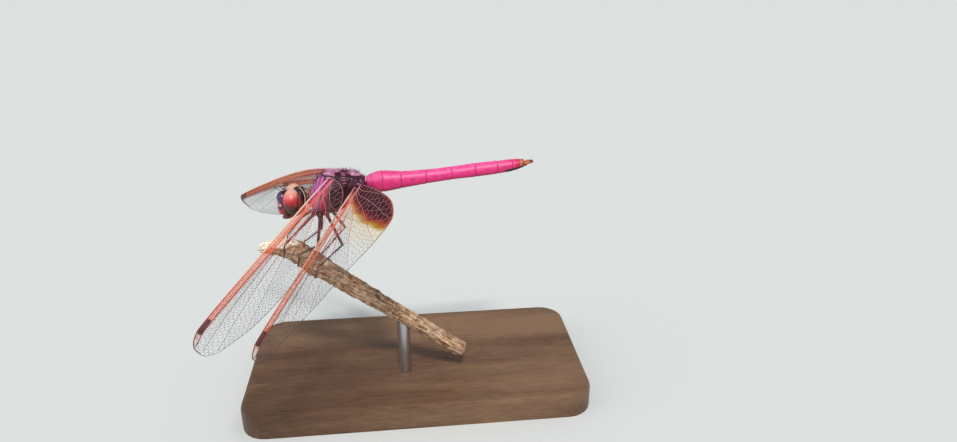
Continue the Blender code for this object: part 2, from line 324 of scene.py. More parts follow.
def twig_shape(t, angle):
    """Long bark ridges and knots, ending in torn wood ahead and a flat cut behind."""
    x, cap = capped(t, END_ROUNDING)
    ahead, up = blend_values(TWIG_LINE, x)
    step = blend_values(TWIG_LINE, min(x + 0.01, 1)) - blend_values(TWIG_LINE, max(x - 0.01, 0))
    step /= np.hypot(*step)
    top = cos(angle)
    radius = float(blend_values([[r] for r in TWIG_RADII], x)[0])
    form = 1 + 0.05 * sin(9 * angle + 3 * sin(x * 14)) + 0.035 * sin(17 * angle + 5 * sin(x * 9 + 2))
    form += 0.11 * lumps(top * 2.2, sin(angle) * 2.2, x * 60)
    form += 0.05 * lumps(top * 5, sin(angle) * 5, x * 170)
    for knot_at, knot_angle, size in TWIG_KNOTS:
        turn = (angle - knot_angle + pi) % (2 * pi) - pi
        form += size * exp(-((x - knot_at) * 30) ** 2 - (turn * 1.5) ** 2)
    torn = max(0.0, 1 - x / BARE_WOOD)
    top_torn = max(0.0, BARE_WOOD * (0.45 + 0.75 * top) + 0.03 * sin(7 * angle) - x)
    splinter = torn * 0.20 * sin(11 * angle + 4 * sin(x * 50)) * sin(x * 110 + 3 * angle)
    form += splinter - torn * (0.5 + 0.5 * top) * 0.30
    radius *= max(0.15, form) * 0.93 * (cap if x < 0.5 or cap < 0.05 else 1.0)
    bare = min(1.0, top_torn * 40)
    cut_end = 1.0 if x > 0.9 and cap < 0.99 else 0.0
    place = at(ahead + radius * top * step[1], radius * sin(angle), up - radius * top * step[0])
    return place, bare, cut_end


bark, tree, shader = new_material("dead_bark", rough=0.9, Specular_IOR_Level=0.25)
# the grain runs down the branch, so the place is turned to lie along it and stretched
lengthways = add_node(tree, "Mapping", {"vector_type": "TEXTURE"},
                      Vector=add_node(tree, "TexCoord").outputs["Object"], Rotation=(0, radians(36), 0),
                      Scale=(1 / 420, 1 / 3600, 1 / 3600)).outputs["Vector"]
grain = noise(tree, lengthways, 1.0, 8.0, 0.68)
crust = noise(tree, object_place(tree), 800.0, 5.0, 0.75)
skin = ramp(tree, grain, (0.28, (0.075, 0.032, 0.018)), (0.40, (0.24, 0.125, 0.070)),
            (0.50, (0.46, 0.28, 0.165)), (0.64, (0.68, 0.48, 0.32)))
crusted = mix(tree, ramp(tree, crust, (0.58, 0.0), (0.66, 0.9)), skin, (0.62, 0.53, 0.41))
stained = mix(tree, ramp(tree, crust, (0.36, 0.85), (0.5, 0.0)), crusted, (0.30, 0.18, 0.14), "MULTIPLY")
pale = ramp(tree, grain, (0.34, (0.20, 0.09, 0.05)), (0.42, (0.66, 0.47, 0.32)), (0.52, (0.95, 0.86, 0.74)))
sawn = ramp(tree, crust, (0.35, (0.45, 0.30, 0.17)), (0.65, (0.70, 0.53, 0.34)))
bare_mark = add_node(tree, "Attribute", {"attribute_name": "bare"}).outputs["Fac"]
cut_mark = add_node(tree, "Attribute", {"attribute_name": "cut_end"}).outputs["Fac"]
both = mix(tree, bare_mark, stained, pale)
all_three = mix(tree, cut_mark, both, sawn)
tree.links.new(all_three, shader.inputs["Base Color"])
height = calc(tree, "ADD", grain, crust)
bump(tree, shader, height, 0.9, 0.10)
bm = fresh("bare", "cut_end")
wrap(bm, 300, 72, twig_shape)
rng = random.Random(3)
for n in range(SPLINTERS):
    turn, back = rng.uniform(0, 2 * pi), rng.uniform(0, 3.4) * rng.uniform(0.2, 1)
    ring = (0.50 + 0.20 * back) * rng.uniform(0.35, 1.05)
    root = Vector((11.9 - back, ring * sin(turn), -8.4 - 0.22 * back + ring * cos(turn) * 0.9))
    tip = root + Vector((rng.uniform(0.3, 1.3), rng.uniform(-0.3, 0.3), rng.uniform(-0.2, 0.35)))
    tip.x = min(tip.x, 12.9)
    spine(bm, root, tip, rng.uniform(0.08, 0.24), (1.0, 0.0), 5)
piece_from("twig", bm, bark, ["perch_twig"])

# ---- What the insect's shell has in common: hard, satin cuticle, mottled, with a waxy bloom in places.
# One group gives every plate its speckle and its bloom, which is paler and duller than the shell.
# On the thorax, the back plates and the top of the abdomen this pale layer is partly a painted highlight.
cuticle = bpy.data.node_groups.new("cuticle", "ShaderNodeTree")
for socket_name, kind in (("Shell", "Color"), ("Bloom", "Color"), ("Bloom Amount", "Float"),
                          ("Mottle", "Float"), ("Grain", "Float")):
    cuticle.interface.new_socket(socket_name, in_out="INPUT", socket_type="NodeSocket" + kind)
for socket_name, kind in (("Color", "Color"), ("Roughness", "Float"), ("Height", "Float")):
    cuticle.interface.new_socket(socket_name, in_out="OUTPUT", socket_type="NodeSocket" + kind)
given = cuticle.nodes.new("NodeGroupInput").outputs
result = cuticle.nodes.new("NodeGroupOutput").inputs
where = add_node(cuticle, "TexCoord").outputs["Object"]
cloudy = noise(cuticle, where, 1600.0, 5.0, 0.6)
pits = noise(cuticle, where, given["Grain"], 3.0)
patchy = add_node(cuticle, "MapRange", Value=cloudy, From_Min=0.38, From_Max=0.62).outputs["Result"]
shade = calc(cuticle, "MULTIPLY", patchy, given["Mottle"])
darker = mix(cuticle, shade, given["Shell"], (0.25, 0.16, 0.2), "MULTIPLY")
thinned = add_node(cuticle, "MapRange", Value=cloudy, From_Min=0.62, From_Max=0.38, To_Min=0.35, To_Max=1.0)
# how much of the pale layer of bloom and painted highlight shows, thinned in patches
bloom_and_sheen_cover = calc(cuticle, "MULTIPLY", given["Bloom Amount"], thinned.outputs["Result"], clamp=True)
with_bloom_and_sheen = mix(cuticle, bloom_and_sheen_cover, darker, given["Bloom"])
cuticle.links.new(with_bloom_and_sheen, result["Color"])
cuticle.links.new(add_node(cuticle, "MapRange", Value=bloom_and_sheen_cover, To_Min=0.40, To_Max=0.68).outputs["Result"],
                  result["Roughness"])
cuticle.links.new(pits, result["Height"])


def shell_material(name, shell, bloom_and_sheen, amount, mottle=0.5, grain=9000.0, relief=0.02, **settings):
    """Cuticle with its own colours; any of them may be a colour, a number or another node's output."""
    made, tree, shader = new_material(name, **settings)
    group = add_node(tree, "Group", {"node_tree": cuticle})
    for key, value in (("Shell", shell), ("Bloom", bloom_and_sheen), ("Bloom Amount", amount), ("Mottle", mottle),
                       ("Grain", grain)):
        plug(tree, group.inputs[key], value(tree) if callable(value) else value)
    tree.links.new(group.outputs["Color"], shader.inputs["Base Color"])
    tree.links.new(group.outputs["Roughness"], shader.inputs["Roughness"])
    bump(tree, shader, group.outputs["Height"], 0.35, relief)
    return made


def mark_value(name):
    """Reads a mark of the mesh when the material is made."""
    return lambda tree: add_node(tree, "Attribute", {"attribute_name": name}).outputs["Fac"]


def by_mark(name, *stops):
    """A colour or grey that follows a mark of the mesh."""
    return lambda tree: ramp(tree, mark_value(name)(tree), *stops)

# ---- The abdomen: ten rings of shell, each one lapping a little over the next.
# It is swollen at its root and slim behind; hot pink with a lilac bloom that is partly a painted highlight
# along the top, painted shade underneath, and black under the last rings.
ABDOMEN = ((-3.55, 1.3, 0.8, 0.9), (-4.3, 1.35, 1.25, 1.25), (-5.95, 1.38, 1.6, 1.45),
           (-8.65, 1.52, 1.28, 1.2), (-12.25, 1.87, 1.05, 1.05), (-15.95, 2.26, 0.97, 1.0),
           (-19.4, 2.6, 1.02, 1.05), (-22.65, 2.9, 0.97, 1.0), (-24.85, 3.15, 0.88, 0.9),
           (-25.8, 3.3, 0.75, 0.75), (-26.5, 3.42, 0.6, 0.62))
RING_PLACES = (0.0, 0.015, 0.05, 0.12, 0.25, 0.4, 0.55, 0.7, 0.82, 0.91, 0.96, 0.985)
rings = [n + part for n in range(len(ABDOMEN) - 1) for part in RING_PLACES] + [len(ABDOMEN) - 1.0]


def abdomen_shape(t, angle):
    """Ten rings with a lapped joint behind each, a keel along the back and one along each side."""
    step = t * (len(rings) + 1)
    x = rings[int(min(max(round(step) - 1, 0), len(rings) - 1))]
    ahead, middle, half_height, half_width = blend_values(ABDOMEN, x / (len(ABDOMEN) - 1))
    part = x - int(x)
    top, side = cos(angle), sin(angle)
    lap = 0.045 * min(part / 0.05, 1.0) + 0.02 * part - (0.03 if part > 0.97 else 0.0)
    lap += 0.02 * exp(-((part - 0.93) / 0.03) ** 2)
    keel = 0.05 * exp(-(((angle + pi) % (2 * pi) - pi) / 0.13) ** 2)
    keel += 0.045 * sum(exp(-((angle - flank) / 0.12) ** 2) for flank in (2.15, 2 * pi - 2.15))
    form = 0.955 + lap + (keel if x > 1 else 0) * min(1.0, 6 * part * (1 - part) + 0.3)
    if 2 < x < 4:
        line = 0.62 if x < 3 else 0.18
        form += 0.02 * exp(-((part - line) / 0.03) ** 2)
    if step < 0.5 or step > len(rings) + 0.5:
        form = 0.0
    belly = 1 - 0.10 * max(0.0, -top) ** 3
    place = at(ahead, half_width * form * side, middle + half_height * form * top * belly)
    return place, x / 10, (top + 1) / 2


def abdomen_shell(tree):
    """Hot pink, redder towards the root, orange-red at the end, with dark joints and marks; darker and redder
    below as painted shade, and darkest under the root, partly as painted shade.
    """
    seg = mark_value("seg")(tree)
    top = mark_value("top")(tree)
    along = ramp(tree, seg, (0.0, (0.30, 0.008, 0.04)), (0.05, (0.66, 0.012, 0.14)),
                 (0.28, (0.76, 0.014, 0.17)), (0.5, (0.83, 0.016, 0.21)), (0.82, (0.74, 0.014, 0.15)),
                 (0.90, (0.55, 0.02, 0.05)), (0.945, (0.60, 0.15, 0.06)), (0.965, (0.50, 0.10, 0.035)),
                 (0.985, (0.05, 0.012, 0.008)))
    # Painted shade: the underside, below about a third of the way up, is darker and redder.
    under = ramp(tree, seg, (0.10, (0.30, 0.008, 0.02)), (0.35, (0.50, 0.01, 0.06)),
                 (0.68, (0.42, 0.008, 0.05)))
    underside_shade = ramp(tree, top, (0.16, 1.0), (0.36, 0.0))
    # Darkest under the first rings: partly their own dark colour, partly painted shade under the thorax and
    # the wing patch.
    dark_root_and_shade = calc(tree, "MULTIPLY", ramp(tree, seg, (0.02, 1.0), (0.19, 0.0)),
                  ramp(tree, top, (0.34, 1.0), (0.70, 0.0)))
    colour = mix(tree, underside_shade, along, under)
    colour = mix(tree, dark_root_and_shade, colour, (0.05, 0.004, 0.012))
    part = calc(tree, "FRACT", calc(tree, "MULTIPLY", seg, 10.0))
    black = calc(tree, "MULTIPLY", ramp(tree, seg, (0.73, 0.0), (0.76, 1.0)),
                 ramp(tree, top, (0.34, 1.0), (0.47, 0.0)))
    colour = mix(tree, black, colour, (0.010, 0.005, 0.007))
    joint = mix(tree, ramp(tree, part, (0.0, 0.85), (0.02, 0.3), (0.04, 0.0), (0.965, 0.0), (0.99, 0.85)),
                colour, (0.16, 0.008, 0.04))
    dash = calc(tree, "MULTIPLY", ramp(tree, part, (0.28, 0.0), (0.42, 0.9), (0.60, 0.9), (0.70, 0.0)),
                ramp(tree, top, (0.555, 0.0), (0.58, 1.0), (0.60, 1.0), (0.63, 0.0)))
    dash = calc(tree, "MULTIPLY", dash, ramp(tree, seg, (0.30, 0.0), (0.32, 1.0), (0.74, 1.0), (0.76, 0.0)))
    return mix(tree, dash, joint, (0.30, 0.008, 0.07))


def abdomen_bloom_and_highlight(tree):
    """The pale bloom, partly a painted highlight, lies on the back and upper sides where light falls, and
    thins out to nothing below and at the end.
    """
    back = by_mark("top", (0.42, 0.0), (0.95, 1.0))(tree)
    along = by_mark("seg", (0.02, 0.5), (0.2, 0.32), (0.7, 0.38), (0.86, 0.0))(tree)
    return calc(tree, "MULTIPLY", back, along)


pink_shell = shell_material("pink_shell", abdomen_shell, (0.90, 0.24, 0.52), abdomen_bloom_and_highlight, 0.22, 12000.0,
                            0.03)
bm = fresh("seg", "top")
wrap(bm, len(rings) + 1, 64, abdomen_shape)
for side in (1, -1):
    def cercus_shape(t, angle, side=side):
        """A small curved spindle with a fine point."""
        x = t * 1.65
        radius = 0.2 * sin(pi * min(t * 0.85 + 0.1, 1.0)) ** 0.6 * (1 if 0 < t < 1 else 0)
        place = at(-26.35 - x, side * (0.30 + 0.06 * sin(pi * t)) + radius * sin(angle),
                   3.48 + 0.22 * t + radius * cos(angle))
        return place, 0.94 + 0.05 * t, 0.7 + 0.3 * cos(angle)
    wrap(bm, 24, 16, cercus_shape)
ball(bm, (-26.7, 0, 3.22), (0.45, 0.34, 0.26), (0.93, 0.8))
piece_from("abdomen_and_claspers", bm, pink_shell,
           ["abdomen_s%d" % n for n in range(1, 11)] + ["cercus_left", "cercus_right"])

# ---- The thorax: one box of shell that carries the wings above and the legs below.
# Oblique seams part its plates; the front is violet with bloom and painted lilac highlights in streaks, and
# the flanks are dark crimson.
THORAX_STATIONS = ((4.35, 0.45, -1.75, 1.2), (4.0, 1.25, -2.5, 1.75), (3.3, 2.35, -3.1, 2.15),
                   (2.4, 3.1, -3.25, 2.4), (1.2, 3.5, -3.05, 2.5), (0.0, 3.5, -2.5, 2.5),
                   (-1.2, 3.35, -1.7, 2.35), (-2.3, 3.0, -0.85, 2.05), (-3.0, 2.5, -0.1, 1.65),
                   (-3.6, 2.05, 0.4, 1.15))
# each seam: its lower end and its upper end on the flank, then its depth
SEAMS = (((3.7, -2.6), (1.9, 3.2), 0.16), ((2.5, -3.0), (0.35, 2.9), 0.12), ((0.9, -2.7), (-1.35, 2.4), 0.16))


def from_line(ahead, up, line_start, line_end):
    """Distance of a place on the flank from a seam."""
    run, rise = line_end[0] - line_start[0], line_end[1] - line_start[1]
    along = ((ahead - line_start[0]) * run + (up - line_start[1]) * rise) / (run * run + rise * rise)
    along = min(max(along, 0.0), 1.0)
    return sqrt((ahead - line_start[0] - along * run) ** 2 + (up - line_start[1] - along * rise) ** 2)


def thorax_shape(t, angle):
    """An egg-shaped box, sloping up behind, with sunk seams, a keel in front and a flat roof."""
    x, cap = capped(t, 0.07)
    ahead, top, low, half_width = blend_values(THORAX_STATIONS, x)
    middle, half_height = (top + low) / 2, (top - low) / 2
    up_part, side_part = cos(angle), sin(angle)
    square = (abs(up_part) ** 2.3 + abs(side_part) ** 2.3) ** (-1 / 2.3)
    up = middle + half_height * up_part * square * cap
    left = half_width * side_part * square * cap
    seam = 0.0
    sink = 0.0
    if abs(side_part) > 0.3:
        for line_start, line_end, depth in SEAMS:
            gap = from_line(ahead, up, line_start, line_end)
            sink += depth * exp(-(gap / 0.13) ** 2)
            seam = max(seam, exp(-(gap / 0.11) ** 2))
    shoulder = from_line(ahead, up, *SEAMS[0][:2])
    streak = 0.5 + 0.5 * sin(shoulder * 13 + 1.5 * lumps(ahead * 2, up, left * 2))
    sink += 0.05 * streak
    keel = exp(-(left / 0.12) ** 2) if ahead > 1.4 and up_part > 0 else 0.0
    sink -= 0.12 * keel
    roof = exp(-left ** 2) if up_part > 0 and ahead < 1.8 else 0.0
    sink += 0.28 * roof
    shrink = 1 - sink / 2.6 - 0.03
    bulge = 0.035 * lumps(ahead * 0.9, left * 0.8, up * 0.8)
    place = at(ahead, left * (shrink + bulge), middle + (up - middle) * (shrink + bulge))
    front = min(1.0, max(0.0, (ahead - 1.5 + up * 0.25) / 2.0))
    return place, seam, front, (up + 3.3) / 7, streak


def thorax_shell(tree):
    """Dark crimson flanks, blackish seams and a rosy back; darker towards the bottom, and painted dark on the
    roof as shade between the plates.
    """
    along = by_mark("front", (0.0, (0.035, 0.003, 0.008)), (0.14, (0.08, 0.004, 0.014)),
                    (0.26, (0.50, 0.004, 0.045)), (0.5, (0.66, 0.006, 0.085)), (0.75, (0.46, 0.016, 0.17)),
                    (1.0, (0.32, 0.025, 0.19)))(tree)
    # Painted shade: the roof between the raised plates is darkened; the bottom is darker too.
    flank = mix(tree, by_mark("height", (0.12, 0.8), (0.3, 0.0), (0.8, 0.0), (0.9, 0.9))(tree), along,
                (0.045, 0.005, 0.012))
    return mix(tree, mark_value("seam")(tree), flank, (0.02, 0.004, 0.008))


def thorax_bloom_and_highlight(tree):
    # Pale lilac painted highlight, partly bloom: streaks on the front's ridges and a faint band high on the
    # flanks, never in the seams.
    front = calc(tree, "MULTIPLY", by_mark("front", (0.42, 0.0), (0.85, 0.85))(tree),
                 by_mark("streak", (0.05, 1.0), (0.75, 0.25))(tree))
    roof = by_mark("height", (0.62, 0.0), (0.78, 0.10), (0.88, 0.0))(tree)
    most = calc(tree, "MAXIMUM", front, roof)
    clear = calc(tree, "SUBTRACT", 1.0, mark_value("seam")(tree), clamp=True)
    return calc(tree, "MULTIPLY", most, clear)


thorax_shell_finish = shell_material("thorax_shell", thorax_shell, (0.66, 0.26, 0.50), thorax_bloom_and_highlight, 0.5,
                                     6000.0, 0.05, Specular_IOR_Level=0.28)
bm = fresh("seam", "front", "height", "streak")
wrap(bm, 150, 128, thorax_shape)
piece_from("thorax_box", bm, thorax_shell_finish, ["thorax"])

# ---- The plates between the wings: two pairs of domes, one pair for each pair of wings, and the hinge knobs.
# They are lifted, pink and glossy, with a pale lilac painted highlight on the brighter ones, and dark gaps
# between them.
bm = fresh("tint")
for centre, radii, tint in (((2.35, 0, 2.9), (0.40, 0.42, 0.30), 0.5),
                            ((0.38, 0, 3.22), (0.46, 0.58, 0.36), 0.95),
                            ((-0.15, 0, 3.05), (0.22, 0.8, 0.26), 0.35),
                            ((-0.95, 0, 2.98), (0.36, 0.40, 0.30), 0.5),
                            ((-2.50, 0, 2.55), (0.42, 0.50, 0.34), 0.95),
                            ((-2.95, 0, 2.12), (0.28, 0.80, 0.34), 0.45)):
    ball(bm, centre, radii, (tint,), (0, 0, 0), 36, 24)
for side in (1, -1):
    ball(bm, (1.42, side * 0.52, 2.92), (0.98, 0.66, 0.44), (0.85,), (side * -14, 4, side * -10), 36, 24)
    ball(bm, (0.80, side * 1.12, 2.82), (0.44, 0.40, 0.28), (0.7,), (side * -26, 4, side * 20))
    ball(bm, (1.95, side * 1.15, 2.55), (0.50, 0.30, 0.22), (0.55,), (side * -30, 10, side * -30))
    ball(bm, (-1.72, side * 0.52, 2.70), (0.80, 0.62, 0.46), (0.9,), (side * -14, 10, side * -8), 36, 24)
    ball(bm, (-2.35, side * 1.02, 2.22), (0.42, 0.36, 0.28), (0.65,), (side * -26, 12, side * 20))
    for step in range(5):
        place = (thorax_shape(0.585 + 0.004 * step, side * (0.42 + 0.16 * step))[0] - THORAX) / MM
        ball(bm, (-place.x, -place.y, place.z), (0.42 - 0.02 * step, 0.22, 0.11), (0.74,),
             (side * -40, 0, 0), 24, 12)
    for ahead, up in ((1.2, 2.7), (-2.6, 1.72)):
        ball(bm, (ahead + 0.3, side * 1.55, up), (0.50, 0.28, 0.22), (0.75,), (0, 8, 0))
        ball(bm, (ahead - 0.45, side * 1.42, up + 0.05), (0.34, 0.28, 0.22), (0.4,), (0, 8, 0))
        ball(bm, (ahead - 0.05, side * 1.2, up + 0.32), (0.36, 0.24, 0.18), (0.9,), (0, 8, 0))
arch = [(-3.5 - 0.1 * cos(a), 1.18 * sin(a), 1.25 + 1.05 * cos(a)) for a in np.linspace(-0.95, 0.95, 9)]
limb(bm, arch, lambda x: 0.10, 40, 10, lambda x, a: (1.15,))
plate_tones = by_mark("tint", (0.3, (0.05, 0.004, 0.012)), (0.6, (0.18, 0.007, 0.045)),
                      (0.9, (0.34, 0.014, 0.12)), (0.97, (0.62, 0.05, 0.20)))
# The pale lilac layer on the brighter plates is a painted highlight.
plate_finish_with_highlight = shell_material("back_plates", plate_tones, (0.80, 0.50, 0.70),
                              by_mark("tint", (0.5, 0.0), (0.95, 0.55)), 0.6, 6000.0, 0.04,
                              Coat_Weight=0.4, Coat_Roughness=0.3)
piece_from("back_plates", bm, plate_finish_with_highlight)

# ---- The neck shield behind the head: a low three-part plate on a slim neck.
bm = fresh("tint")


def neck_shape(t, angle):
    x, cap = capped(t, 0.12)
    ahead, top, low, half_width = blend_values(((5.35, -0.25, -1.0, 0.5), (5.05, 0.05, -1.25, 0.75),
                                                (4.75, 0.4, -1.6, 1.15), (4.42, 0.5, -1.8, 1.25),
                                                (4.15, 0.45, -1.7, 1.1)), x)
    waist = 1 + 0.06 * sin(x * 19)
    return at(ahead, half_width * sin(angle) * cap * waist,
              (top + low) / 2 + (top - low) / 2 * cos(angle) * cap * waist), 0.5 + 0.5 * sin(x * 19)


wrap(bm, 40, 40, neck_shape)
for side in (1, -1):
    ball(bm, (4.75, side * 0.42, 0.32), (0.32, 0.42, 0.28), (0.9,))
neck_tones = by_mark("tint", (0.1, (0.05, 0.006, 0.010)), (0.7, (0.24, 0.012, 0.03)),
                     (1.0, (0.45, 0.20, 0.13)))
neck_finish = shell_material("neck_shell", neck_tones, (0.5, 0.3, 0.35), 0.12, 0.5)
piece_from("neck_shield", bm, neck_finish, ["prothorax"])

# ---- The eyes: two great domes that meet on top of the head, made of thousands of tiny facets.
# They are coral red under a thin gloss; the paler salmon top is partly a painted highlight and the blackish
# red bottom partly painted shade.
EYE_CENTRE, EYE_RADII = (6.95, 1.46, -0.5), (1.22, 1.38, 1.78)
EYE_LEAN = radians(18)
eye_finish, tree, shader = new_material("faceted_eye", rough=0.4, Coat_Weight=0.25, Coat_Roughness=0.3)
facets = add_node(tree, "TexVoronoi", {"feature": "DISTANCE_TO_EDGE"}, Vector=object_place(tree),
                  Scale=15000.0).outputs["Distance"]
cloud = noise(tree, object_place(tree), 1300.0, 2.0)
# Colour by height: the salmon-peach top is partly painted highlight, the blackish bottom partly painted
# shade.
eye_colour_and_painted_light = ramp(tree, calc(tree, "MULTIPLY_ADD", cloud, 0.22, mark_value("height")(tree)),
             (0.20, (0.045, 0.006, 0.006)), (0.40, (0.15, 0.008, 0.010)), (0.54, (0.46, 0.018, 0.022)),
             (0.70, (0.74, 0.075, 0.075)), (0.88, (0.84, 0.26, 0.21)), (1.04, (0.82, 0.45, 0.32)))
rims = mix(tree, ramp(tree, facets, (0.0, 0.7), (0.12, 0.0)), eye_colour_and_painted_light, (0.35, 0.12, 0.12), "MULTIPLY")
tree.links.new(rims, shader.inputs["Base Color"])
bump(tree, shader, facets, 0.35, 0.02)
for side, word in ((1, "left"), (-1, "right")):
    def eye_shape(t, angle, side=side):
        """A dome whose pole points sideways, leaning inwards at the top and slightly pinched behind."""
        ring = pi * t
        ahead = sin(ring) * cos(angle)
        up = sin(ring) * sin(angle)
        pinch = 1 - 0.10 * max(0.0, -ahead) * (1 - abs(up))
        out, above = EYE_RADII[1] * cos(ring), EYE_RADII[2] * up
        left = EYE_CENTRE[1] + out * cos(EYE_LEAN) - above * sin(EYE_LEAN)
        left = max(0.025, left - 1.4 * max(0.0, up) * max(0.0, -cos(ring)))
        height = EYE_CENTRE[2] + above * cos(EYE_LEAN) + out * sin(EYE_LEAN)
        height -= 0.14 * max(0.0, height)
        return at(EYE_CENTRE[0] + EYE_RADII[0] * ahead * pinch, side * left, height), (up + 1) / 2
    bm = fresh("height")
    wrap(bm, 64, 96, eye_shape)
    piece_from("eye_dome_" + word, bm, eye_finish, ["eye_" + word])

# ---- The head: a hollowed capsule behind the eyes, and a face of separate plates in front.
# The brow plate is metallic violet, the plates below it are red, and the jaws are brick red.
bm = fresh("tint")
ball(bm, (7.05, 0, -1.35), (1.86, 1.80, 2.0), (0.35,), (0, 0, 0), 64, 48)
ball(bm, (6.35, 0, -0.55), (0.95, 1.9, 1.55), (0.2,), (0, 0, 0), 48, 32)
ball(bm, (5.98, 0, 0.72), (0.40, 0.45, 0.34), (0.2,), (0, 20, 0))
ball(bm, (5.75, 0, -0.3), (0.60, 1.45, 1.35), (0.15,), (0, 0, 0), 48, 32)
for side in (1, -1):
    ball(bm, (5.95, side * 1.55, -0.9), (0.5, 0.95, 1.5), (0.75,), (0, 0, side * 18))
    ball(bm, (8.05, side * 1.28, -2.05), (0.55, 0.42, 0.62), (0.8,), (0, 0, 0))
capsule_tones = by_mark("tint", (0.15, (0.020, 0.007, 0.006)), (0.5, (0.07, 0.012, 0.012)),
                        (0.85, (0.20, 0.022, 0.016)), (1.0, (0.62, 0.46, 0.28)))
capsule_finish = shell_material("head_shell", capsule_tones, (0.40, 0.18, 0.16), 0.03, 0.5)
for side in (1, -1):
    rim = [(5.9, side * 0.25, 1.02), (5.55, side * 0.68, 0.86), (5.26, side * 1.02, 0.5),
           (5.12, side * 1.25, 0.0), (5.12, side * 1.38, -0.6), (5.25, side * 1.35, -1.3)]
    limb(bm, rim, lambda x: 0.08, 40, 8, lambda x, a: (1.0,))
piece_from("head_capsule", bm, capsule_finish, ["head", "mouthparts", "frons"])

bm = fresh("tint")


def brow_shape(t, angle):
    """A swollen brow with a furrow down its middle, split in two low mounds above."""
    ring = pi * t
    side = cos(ring)
    ahead, up = sin(ring) * cos(angle), sin(ring) * sin(angle)
    furrow = 0.16 * exp(-(side / 0.16) ** 2) * max(0.0, ahead * 0.6 + up)
    return at(8.42 + (0.86 - furrow) * ahead, 1.02 * side, -0.42 + (0.88 - furrow) * up), (up + 1) / 2


wrap(bm, 56, 56, brow_shape)
ball(bm, (8.05, 0, 0.55), (0.30, 0.36, 0.34), (0.9,), (0, -20, 0))
brow_tones = by_mark("tint", (0.1, (0.30, 0.10, 0.16)), (0.45, (0.16, 0.06, 0.16)),
                     (0.8, (0.09, 0.035, 0.10)))
violet_metal = shell_material("violet_brow", brow_tones, (0.55, 0.42, 0.55), 0.1, 0.3, Metallic=0.75,
                              Coat_Weight=0.3, Coat_Roughness=0.25)
piece_from("brow_plate", bm, violet_metal)

bm = fresh("tint")
for centre, radii, tint, tilt in (((8.62, 0, -1.38), (0.60, 1.22, 0.40), 0.75, 0),
                                  ((8.74, 0, -1.86), (0.48, 0.92, 0.26), 0.6, 0),
                                  ((8.58, 0, -2.40), (0.54, 1.22, 0.52), 1.0, -12)):
    ball(bm, centre, radii, (tint,), (0, tilt, 0), 48, 32)
for side in (1, -1):
    ball(bm, (7.75, side * 0.60, -3.08), (0.92, 0.66, 0.40), (0.35,), (0, -14, 0), 32, 24)
    ball(bm, (8.02, side * 1.15, -2.72), (0.38, 0.26, 0.36), (0.2,))
ball(bm, (7.7, 0, -3.1), (0.82, 0.34, 0.40), (0.3,), (0, -14, 0))
face_tones = by_mark("tint", (0.15, (0.10, 0.010, 0.008)), (0.4, (0.24, 0.025, 0.014)),
                     (0.6, (0.30, 0.05, 0.07)), (0.75, (0.55, 0.18, 0.24)), (0.9, (0.62, 0.012, 0.02)))
red_face = shell_material("red_face", face_tones, (0.7, 0.3, 0.3), 0.04, 0.3, Coat_Weight=0.3,
                          Coat_Roughness=0.2)
piece_from("face_plates", bm, red_face)

bead = new_material("clear_bead", (0.35, 0.12, 0.05), 0.08, Coat_Weight=1.0)[0]
bm = fresh()
for left, up, ahead in ((0, 0.42, 8.50), (0.36, 0.72, 8.18), (-0.36, 0.72, 8.18)):
    ball(bm, (ahead, left, up), (0.10, 0.10, 0.10), (), (0, 0, 0), 16, 12)
piece_from("small_eyes", bm, bead)

# ---- The feelers: two thick little joints and a bristle that thins to a hair.
horn = new_material("dark_horn", (0.022, 0.010, 0.009), 0.35)[0]
FEELER = ((8.25, 0.42, 0.35), (8.55, 0.60, 0.80), (8.95, 0.85, 1.20), (9.25, 1.10, 1.55))


for side, word in ((1, "left"), (-1, "right")):
    bm = fresh()
    limb(bm, [(a, side * l, u) for a, l, u in FEELER],
         lambda x: 0.125 if x < 0.12 else 0.10 if x < 0.26 else 0.06 - 0.042 * x, 40, 12)
    piece_from("feeler_" + word, bm, horn, ["antenna_" + word])

# ---- The legs: three pairs, slim and spiny, reaching forward to hold the twig.
# Each has a stout hip joint, a thigh, a shin with two rows of bristles, a three-part foot and two claws.
LEGS = {
    "fore": ((4.0, 1.0, -2.7), (6.3, 2.6, -4.6), (8.6, 1.85, -7.2), (8.9, 1.68, -9.1)),
    "mid": ((3.2, 1.3, -3.0), (3.7, 3.1, -6.9), (6.6, 2.05, -8.7), (7.0, 1.95, -10.5)),
    "hind": ((2.3, 1.5, -2.6), (0.2, 3.3, -6.9), (4.1, 2.05, -10.9), (4.7, 1.95, -12.6)),
}


def leg_shell(tree):
    """Brown-black, with reddish bands on the thigh near the body."""
    return by_mark("reach", (0.0, (0.06, 0.006, 0.008)), (0.10, (0.20, 0.012, 0.014)),
                   (0.2, (0.020, 0.005, 0.005)), (0.26, (0.26, 0.02, 0.018)), (0.31, (0.020, 0.005, 0.005)),
                   (0.38, (0.22, 0.018, 0.016)), (0.44, (0.016, 0.005, 0.005)),
                   (0.7, (0.010, 0.005, 0.005)))(tree)


